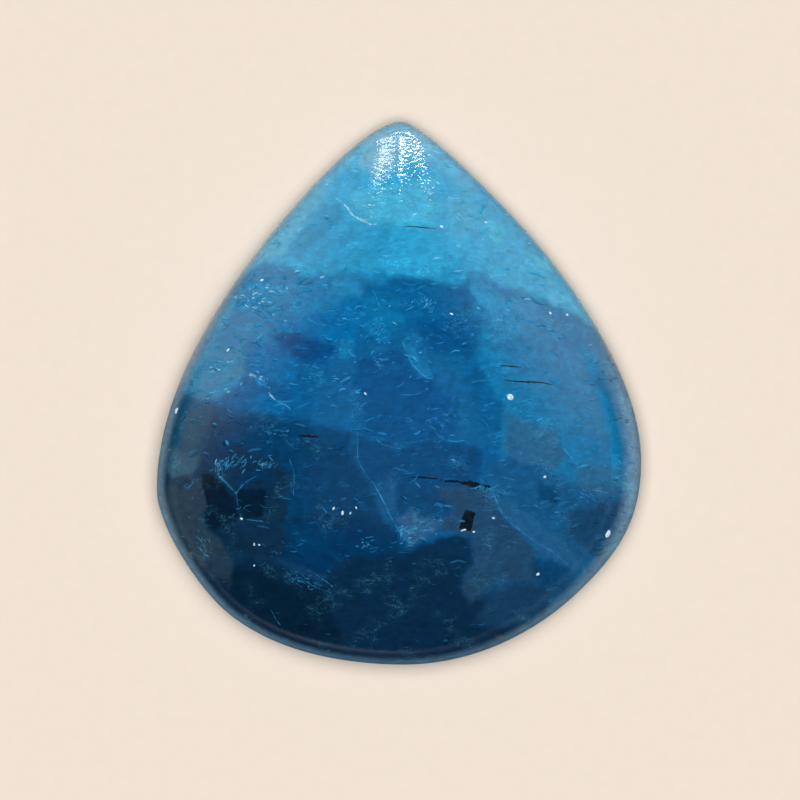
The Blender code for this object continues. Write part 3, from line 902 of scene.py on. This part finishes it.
def pale_paper(colour):
    """Matt off-white paper, which gives a plain warm ground with no gloss."""
    material, tree = new_material("matt_pale_paper")
    # Paper fibre, drawn 0.8 mm across so that it shows at all.
    fibre = add_node(tree, "ShaderNodeTexNoise", None,
                     {"Vector": place_in_mm(tree), "Scale": 1.2, "Detail": 4.0})
    shaded = toned(tree, colour, fibre, 0.3, 0.7, 0.985, 1.0)
    shader = add_node(tree, "ShaderNodeBsdfPrincipled", None,
                      {"Base Color": shaded, "Roughness": 0.9, "Specular IOR Level": 0.1})
    add_node(tree, "ShaderNodeOutputMaterial", None, {"Surface": shader})
    return material


def new_piece(name, mesh, material):
    """A new object in the scene with one material."""
    mesh.materials.append(material)
    piece = bpy.data.objects.new(name, mesh)
    bpy.context.scene.collection.objects.link(piece)
    return piece


class APATITE_OT_stone(bpy.types.Operator):
    """Cuts and polishes the stone"""
    bl_idname = "apatite.stone"
    bl_label = "Stone"

    def execute(self, context):
        colours = context.scene.apatite_colours
        mesh = stone_mesh(context.scene.apatite_sizes)
        colour_the_stone(mesh, colours)
        mesh.shade_smooth()
        mesh.set_sharp_from_angle(angle=math.radians(40))
        stone = new_piece("apatite_stone", mesh, polished_apatite(colours))
        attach(stone, "root")
        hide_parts(CAD_NODE)
        return {"FINISHED"}


class StoneTop:
    """Finds places on the dome from where they show straight above."""

    def __init__(self):
        stone = bpy.data.objects.get("apatite_stone")
        if stone is None:
            raise RuntimeError("The stone has to be there before anything is set into it")
        self.mesh = stone.data
        self.tree = BVHTree.FromObject(stone, bpy.context.evaluated_depsgraph_get())

    def place(self, x, y, proud=0.0):
        """The place on the dome under (x, y), in millimetres, and that far out of it, in metres. It is
        None past the stone's edge."""
        above = Vector((x * MM, y * MM, 2 * STONE_BOX.z))
        hit, normal, face, distance = self.tree.ray_cast(above, Vector((0, 0, -1)))
        if hit is None or normal.z < 0.3:
            return None
        return hit + normal * proud

    def colour(self, x, y):
        """The colour of the stone's zones under (x, y), in millimetres."""
        above = Vector((x * MM, y * MM, 2 * STONE_BOX.z))
        face = self.tree.ray_cast(above, Vector((0, 0, -1)))[2]
        if face is None:
            return Vector((0, 0, 0))
        corner = self.mesh.polygons[face].vertices[0]
        return Vector(self.mesh.color_attributes[COLOUR_LAYER].data[corner].color[:3])


def smooth_path(points, count):
    """Points at even steps of the count along a smooth curve through the given (x, y) points."""
    ends = [points[0], *points, points[-1]]
    path = []
    for number in range(count + 1):
        share = number / count * (len(points) - 1)
        start = min(int(share), len(points) - 2)
        part = share - start
        before, here, after, beyond = [Vector(point) for point in ends[start:start + 4]]
        path.append(0.5 * (2 * here + (after - before) * part
                           + (2 * before - 5 * here + 4 * after - beyond) * part**2
                           + (3 * here - before - 3 * after + beyond) * part**3))
    return path


def add_wedge(shape, top, points, width, proud, steps, ragged=0.0, dice=None):
    """Adds a crack that reaches the polish: a thin wedge, pointed at both ends, which follows the path.
    Gives back its vertices in pairs with how far they are from its soft edge, from 0 to 1."""
    path = smooth_path(points, steps)
    rings = []
    for number, here in enumerate(path):
        before = path[max(number - 1, 0)]
        after = path[min(number + 1, steps)]
        along = (after - before).normalized()
        side = Vector((-along.y, along.x))
        half = width / 2 * math.sin(math.pi * number / steps) ** 0.5
        if ragged and dice:
            half *= 1 + ragged * dice.uniform(-1, 1)
            here = here + side * width * ragged * 0.5 * dice.uniform(-1, 1)
        left = here + side * half
        right = here - side * half
        corners = [top.place(left.x, left.y, proud), top.place(here.x, here.y, proud),
                   top.place(right.x, right.y, proud), top.place(here.x, here.y, -width * MM * 0.5)]
        if None in corners:
            return []
        rings.append(corners)
    start = shape.verts.new(top.place(path[0].x, path[0].y, proud))
    end = shape.verts.new(top.place(path[-1].x, path[-1].y, proud))
    loops = [[shape.verts.new(corner) for corner in ring] for ring in rings[1:-1]]
    for first, second in zip(loops, loops[1:]):
        for here in range(4):
            after = (here + 1) % 4
            shape.faces.new((first[here], first[after], second[after], second[here]))
    for here in range(4):
        after = (here + 1) % 4
        shape.faces.new((start, loops[0][after], loops[0][here]))
        shape.faces.new((end, loops[-1][here], loops[-1][after]))
    shares = [(start, 0.0), (end, 0.0)]
    for loop in loops:
        shares += [(loop[0], 0.0), (loop[1], 1.0), (loop[2], 0.0), (loop[3], 1.0)]
    return shares


def add_soft_wedge(shape, top, points, width, settings, steps, lighter, dice, ragged=0.0):
    """Adds a crack whose colour fades from the stone's own at its edges to lighter in its middle. It is
    darker there when lighter is below 0."""
    colours = bpy.context.scene.apatite_colours
    proud = settings.stands_proud * dice.uniform(0.3, 1.7)
    for vertex, share in add_wedge(shape, top, points, width, proud, steps, ragged, dice):
        own = top.colour(vertex.co.x / MM, vertex.co.y / MM) * CRACK_EDGE_TONE
        if lighter < 0:
            target = own * (1 + lighter)
        elif lighter < BLUE_TO_WHITE:
            target = own.lerp(Vector(colours.crack_blue), lighter / BLUE_TO_WHITE)
        else:
            whiter = min((lighter - BLUE_TO_WHITE) / (1 - BLUE_TO_WHITE), 1)
            target = Vector(colours.crack_blue).lerp(Vector(colours.crack_white), whiter)
        mixed = own.lerp(target, share * dice.uniform(0.5, 1.0))
        vertex[shape.verts.layers.float_color[COLOUR_LAYER]] = opaque(mixed)


def coloured_shape():
    """An empty shape whose vertices carry a colour."""
    shape = bmesh.new()
    shape.verts.layers.float_color.new(COLOUR_LAYER)
    return shape


def turned(x, y, degrees):
    """(x, y) turned about the origin, counterclockwise."""
    radians = math.radians(degrees)
    return (x * math.cos(radians) - y * math.sin(radians), x * math.sin(radians) + y * math.cos(radians))


def finish_mesh(name, shape):
    """A mesh from a shape, with its faces turned outwards."""
    bmesh.ops.recalc_face_normals(shape, faces=shape.faces)
    mesh = bpy.data.meshes.new(name)
    shape.to_mesh(mesh)
    shape.free()
    return mesh


def set_in_stone(name, mesh, material):
    """A piece of what grew in the stone, which moves with it."""
    piece = new_piece(name, mesh, material)
    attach(piece, "root")
    return piece


class APATITE_OT_cracks(bpy.types.Operator):
    """Adds the single cracks and the knots of small cracks"""
    bl_idname = "apatite.cracks"
    bl_label = "Cracks"

    def execute(self, context):
        settings = context.scene.apatite_inclusions
        top = StoneTop()
        dice = random.Random(settings.seed)
        shape = coloured_shape()
        for width, brightness, points in BRIGHT_CRACKS:
            self.add_broken(shape, top, points, width, brightness, settings, dice)
        for x, y, half_length, half_width, turn, count, crack_turn, brightness in CRACK_KNOTS:
            for number in range(count):
                away = turned(dice.gauss(0, 0.5) * half_length, dice.gauss(0, 0.5) * half_width, turn)
                length = dice.uniform(0.15, 0.65) * (half_length * half_width) ** 0.25
                heading = crack_turn + dice.gauss(0, 20)
                path = bent_path((x + away[0], y + away[1]), length, heading, dice)
                width = dice.uniform(0.06, 0.15)
                lighter = brightness * dice.uniform(0.15, 1.0)
                add_soft_wedge(shape, top, path, width, settings, 5, lighter, dice)
        mesh = finish_mesh("healed_cracks", shape)
        mesh.shade_smooth()
        mesh.set_sharp_from_angle(angle=math.radians(30))
        material = gas_filled_crack("gas_filled_crack", context.scene.apatite_colours)
        set_in_stone("healed_cracks", mesh, material)
        return {"FINISHED"}

    def add_broken(self, shape, top, points, width, brightness, settings, dice):
        """Adds one long crack in pieces, as it has healed shut in places."""
        total = sum(math.dist(before, after) for before, after in zip(points, points[1:]))
        steps = 120
        path = smooth_path(points, steps)
        start = 0.0
        while start < 0.97:
            end = min(start + dice.uniform(0.35, 1.3) / total, 1.0)
            part = path[round(start * steps):round(end * steps) + 1]
            if len(part) > 4:
                picked = part[::max(len(part) // 5, 1)]
                add_soft_wedge(shape, top, picked, 1.35 * width * dice.uniform(0.6, 1.2), settings,
                               4 * len(picked), brightness * dice.uniform(0.45, 1.1), dice, 0.35)
            start = end + dice.uniform(-0.12, 0.10) / total


def bent_path(middle, length, heading, dice):
    """Three points along a small bent crack."""
    bend = dice.uniform(-0.2, 0.2) * length
    points = []
    for along, aside in ((-length / 2, 0), (0, bend), (length / 2, 0)):
        x, y = turned(along, aside, heading)
        points.append((middle[0] + x, middle[1] + y))
    return points


class APATITE_OT_needles(bpy.types.Operator):
    """Adds the dark needles and the one blunt dark crystal"""
    bl_idname = "apatite.needles"
    bl_label = "Dark needles"

    def execute(self, context):
        settings = context.scene.apatite_inclusions
        colours = context.scene.apatite_colours
        top = StoneTop()
        dice = random.Random(settings.seed)
        shapes = {"needle": bmesh.new(), "rust": bmesh.new()}
        for x, y, length, turn, thickness, colour in DARK_NEEDLES:
            points = []
            for along in (-0.5, -0.2, 0.2, 0.5):
                aside = turned(along * length, dice.uniform(-0.02, 0.02) * length, turn)
                points.append((x + aside[0], y + aside[1]))
            add_wedge(shapes[colour], top, points, thickness, settings.stands_proud, 16, 0.25, dice)
        self.add_crystal(shapes["needle"], top, settings.stands_proud)
        for colour, shape in shapes.items():
            name = f"dark_{colour}s"
            material = black_tourmaline(f"{colour}_tourmaline", tuple(getattr(colours, colour)))
            set_in_stone(name, finish_mesh(name, shape), material)
        return {"FINISHED"}

    def add_crystal(self, shape, top, proud):
        """Adds the blunt crystal, a low prism with cut corners that leans into the stone."""
        x, y, width, length, turn, depth = DARK_CRYSTAL
        outline = ((-0.5, -0.42), (-0.4, -0.5), (0.42, -0.48), (0.5, -0.3), (0.46, 0.2), (0.5, 0.46),
                   (0.1, 0.5), (-0.34, 0.47), (-0.46, 0.1))
        rings = []
        for size, sink in ((1.0, -depth * MM), (1.0, proud), (0.66, proud), (0.33, proud)):
            ring = []
            for across, along in outline:
                aside = turned(size * across * width, size * along * length, turn)
                ring.append(shape.verts.new(top.place(x + aside[0], y + aside[1], sink)))
            rings.append(ring)
        count = len(outline)
        for low, high in zip(rings, rings[1:]):
            for here in range(count):
                after = (here + 1) % count
                shape.faces.new((low[here], low[after], high[after], high[here]))
        shape.faces.new(rings[0])
        shape.faces.new(rings[-1])


class APATITE_OT_grains(bpy.types.Operator):
    """Adds the pale grains that the polish cut through"""
    bl_idname = "apatite.grains"
    bl_label = "Pale grains"

    def execute(self, context):
        settings = context.scene.apatite_inclusions
        top = StoneTop()
        dice = random.Random(settings.seed)
        shape = bmesh.new()
        for x, y, half_length, half_width, turn in PALE_GRAINS:
            self.add_grain(shape, top, (x, y), half_length, half_width, turn, dice)
        mesh = finish_mesh("pale_grains", shape)
        mesh.shade_smooth()
        material = white_calcite(tuple(context.scene.apatite_colours.grain))
        set_in_stone("pale_grains", mesh, material)
        return {"FINISHED"}

    def add_grain(self, shape, top, spot, half_length, half_width, turn, dice):
        """Adds one lumpy grain, sunk into the stone so that little more than its top shows."""
        seat = top.place(*spot)
        if seat is None:
            return
        made = bmesh.ops.create_icosphere(shape, subdivisions=3, radius=1.0)
        stretch = Matrix.Diagonal((half_length, half_width, 0.5 * half_width))
        spin = Matrix.Rotation(math.radians(turn), 3, "Z")
        start = Vector((dice.uniform(0, 9), dice.uniform(0, 9), dice.uniform(0, 9)))
        middle = seat - Vector((0, 0, 0.2 * half_width * MM))
        for vertex in made["verts"]:
            lump = 1 + 0.22 * noise.noise(vertex.co * 1.8 + start)
            vertex.co = middle + spin @ stretch @ (vertex.co * lump) * MM


class APATITE_OT_flecks(bpy.types.Operator):
    """Strews small cracks over the stone, thickest in the upper left"""
    bl_idname = "apatite.flecks"
    bl_label = "Flecks"

    def execute(self, context):
        settings = context.scene.apatite_inclusions
        top = StoneTop()
        dice = random.Random(settings.seed)
        shape = coloured_shape()
        for number in range(settings.fleck_count):
            x = dice.uniform(-0.5, 0.5) * OUTLINE_WIDTH
            y = dice.uniform(-0.5, 0.5) * OUTLINE_LENGTH
            if dice.random() > fleck_density(x, y) or top.place(x, y) is None:
                continue
            length = settings.fleck_length / MM * dice.lognormvariate(0, 0.5)
            width = settings.fleck_width / MM * dice.lognormvariate(0, 0.35)
            heading = dice.gauss(-2, 22)
            lighter = fleck_brightness(y) * dice.betavariate(1.2, 2.3)
            points = bent_path((x, y), length, heading, dice)
            add_soft_wedge(shape, top, points, width, settings, 4, lighter, dice)
            if dice.random() < DARK_SIDE_SHARE:
                beside = turned(0, -0.7 * width, heading)
                points = bent_path((x + beside[0], y + beside[1]), 0.9 * length, heading, dice)
                add_soft_wedge(shape, top, points, 0.8 * width, settings, 4, -dice.uniform(0.2, 0.6), dice)
        mesh = finish_mesh("flecks", shape)
        mesh.shade_smooth()
        mesh.set_sharp_from_angle(angle=math.radians(30))
        material = gas_filled_crack("gas_filled_fleck", context.scene.apatite_colours)
        set_in_stone("flecks", mesh, material)
        return {"FINISHED"}


def fleck_density(x, y):
    """How thick the flecks lie at (x, y), from 0 to 1."""
    patchy = 0.5 + 0.9 * noise.noise(Vector((x / 2.2, y / 1.6, 0)))
    upper_left = max(0.0, 1 - math.hypot((x + 8) / 8, (y - 4) / 6))
    broad_end = 0.35 if y < -10.5 else 1.0
    return min(max((0.30 + 0.8 * upper_left) * patchy * 1.5 * broad_end, 0.0), 1.0)


def fleck_brightness(y):
    """How bright flecks are at a height y: more so towards the tip."""
    return min(max(0.75 + y / 25, 0.30), 1.1)


def add_softbox(name, azimuth, elevation, distance, width, height, power, roll=0.0):
    """A soft rectangular light that faces the stone, with its bearing, height and roll in degrees."""
    light = bpy.data.lights.new(name, "AREA")
    light.shape = "RECTANGLE"
    light.size = width
    light.size_y = height
    light.energy = power
    box = bpy.data.objects.new(name, light)
    bpy.context.scene.collection.objects.link(box)
    towards = Matrix.Rotation(math.radians(azimuth), 3, "Z") @ Vector(
        (math.cos(math.radians(elevation)), 0, math.sin(math.radians(elevation))))
    box.location = towards * distance
    facing = (-towards).to_track_quat("-Z", "Y").to_matrix()
    box.rotation_euler = (facing @ Matrix.Rotation(math.radians(roll), 3, "Z")).to_euler()
    return box


def light_the_room(settings):
    """A white room that is bright on the window's side and dark overhead and in front."""
    world = bpy.data.worlds.new("soft_white_room")
    world.use_nodes = True
    bpy.context.scene.world = world
    tree = world.node_tree
    tree.nodes.clear()
    place = add_node(tree, "ShaderNodeTexCoord").outputs["Generated"]
    axes = add_node(tree, "ShaderNodeSeparateXYZ", None, {0: place})
    low = add_node(tree, "ShaderNodeMapRange", EASED,
                   {"Value": axes.outputs["Z"], "From Min": 0.25, "From Max": 0.80,
                    "To Min": 1.0, "To Max": 0.0})
    window_side = add_node(tree, "ShaderNodeMapRange", EASED,
                           {"Value": axes.outputs["Y"], "From Min": -0.35, "From Max": 0.70})
    lit = add_node(tree, "ShaderNodeMath", {"operation": "MULTIPLY"}, {0: low, 1: window_side})
    lit = add_node(tree, "ShaderNodeMath", {"operation": "ADD"}, {0: lit, 1: 0.02})
    strength = add_node(tree, "ShaderNodeMath", {"operation": "MULTIPLY"},
                        {0: lit, 1: settings.room_strength})
    background = add_node(tree, "ShaderNodeBackground", None,
                          {"Color": opaque(settings.room_colour), "Strength": strength})
    add_node(tree, "ShaderNodeOutputWorld", None, {"Surface": background})
    # The room shows in the polish, but the panel overhead alone lights the paper, so there is no long
    # shadow.
    world.cycles_visibility.diffuse = False


class APATITE_OT_studio(bpy.types.Operator):
    """Sets up the pale floor, the soft lights and the camera straight above the stone"""
    bl_idname = "apatite.studio"
    bl_label = "Studio"

    def execute(self, context):
        settings = context.scene.apatite_studio
        half = settings.floor_size / 2
        mesh = bpy.data.meshes.new("paper_floor")
        corners = [(-half, -half, 0), (half, -half, 0), (half, half, 0), (-half, half, 0)]
        mesh.from_pydata(corners, [], [(0, 1, 2, 3)])
        floor = new_piece("paper_floor", mesh, pale_paper(tuple(settings.floor_colour)))
        floor.location.z = -0.02 * MM

        light_the_room(settings)
        window = add_softbox("window", 76.5, 31.0, 0.5, 0.24, 0.085, settings.window_power, 25)
        curtain = add_softbox("curtain", 104.5, 35.4, 0.5, 0.12, 0.030,
                              settings.window_power * CURTAIN_SHARE, -12)
        window.visible_diffuse = False
        curtain.visible_diffuse = False
        ceiling = add_softbox("ceiling_panel", 0, 90, 0.9, 0.9, 0.9, settings.ceiling_power)
        # The panel lights the stone and the paper but is kept out of the polish, as crossed filters do.
        ceiling.visible_glossy = False

        sensor = 36.0
        camera = bpy.data.cameras.new("camera_above")
        camera.sensor_width = sensor
        camera.lens = sensor * settings.camera_height / settings.view_width
        camera.clip_start = 0.01
        camera.clip_end = 10
        eye = bpy.data.objects.new("camera_above", camera)
        context.scene.collection.objects.link(eye)
        eye.location = (settings.aim_x, settings.aim_y, settings.camera_height)
        context.scene.camera = eye
        context.scene.view_settings.view_transform = "Standard"
        return {"FINISHED"}


class APATITE_PT_panel(bpy.types.Panel):
    """The settings and the pieces of the stone and its studio"""
    bl_label = "Apatite cabochon"
    bl_idname = "APATITE_PT_panel"
    bl_space_type = "VIEW_3D"
    bl_region_type = "UI"
    bl_category = "Apatite"

    def draw(self, context):
        for name, group in SETTINGS.items():
            box = self.layout.box()
            for key in group.__annotations__:
                box.prop(getattr(context.scene, name), key)
        for operator in OPERATORS:
            self.layout.operator(operator.bl_idname)


SETTINGS = {
    "apatite_sizes": StoneSizes,
    "apatite_colours": StoneColours,
    "apatite_inclusions": InclusionSizes,
    "apatite_studio": StudioSettings,
}
OPERATORS = (
    APATITE_OT_stone,
    APATITE_OT_cracks,
    APATITE_OT_flecks,
    APATITE_OT_needles,
    APATITE_OT_grains,
    APATITE_OT_studio,
)


def register():
    """Makes the settings, the operators and the panel known to Blender."""
    for name, group in SETTINGS.items():
        bpy.utils.register_class(group)
        setattr(bpy.types.Scene, name, bpy.props.PointerProperty(type=group))
    for operator in OPERATORS:
        bpy.utils.register_class(operator)
    bpy.utils.register_class(APATITE_PT_panel)


def unregister():
    """Takes back what register did."""
    bpy.utils.unregister_class(APATITE_PT_panel)
    for operator in reversed(OPERATORS):
        bpy.utils.unregister_class(operator)
    for name, group in SETTINGS.items():
        delattr(bpy.types.Scene, name)
        bpy.utils.unregister_class(group)


def main():
    """Builds everything in order."""
    register()
    bpy.ops.apatite.stone()
    bpy.ops.apatite.cracks()
    bpy.ops.apatite.flecks()
    bpy.ops.apatite.needles()
    bpy.ops.apatite.grains()
    bpy.ops.apatite.studio()


if __name__ == "__main__":
    main()
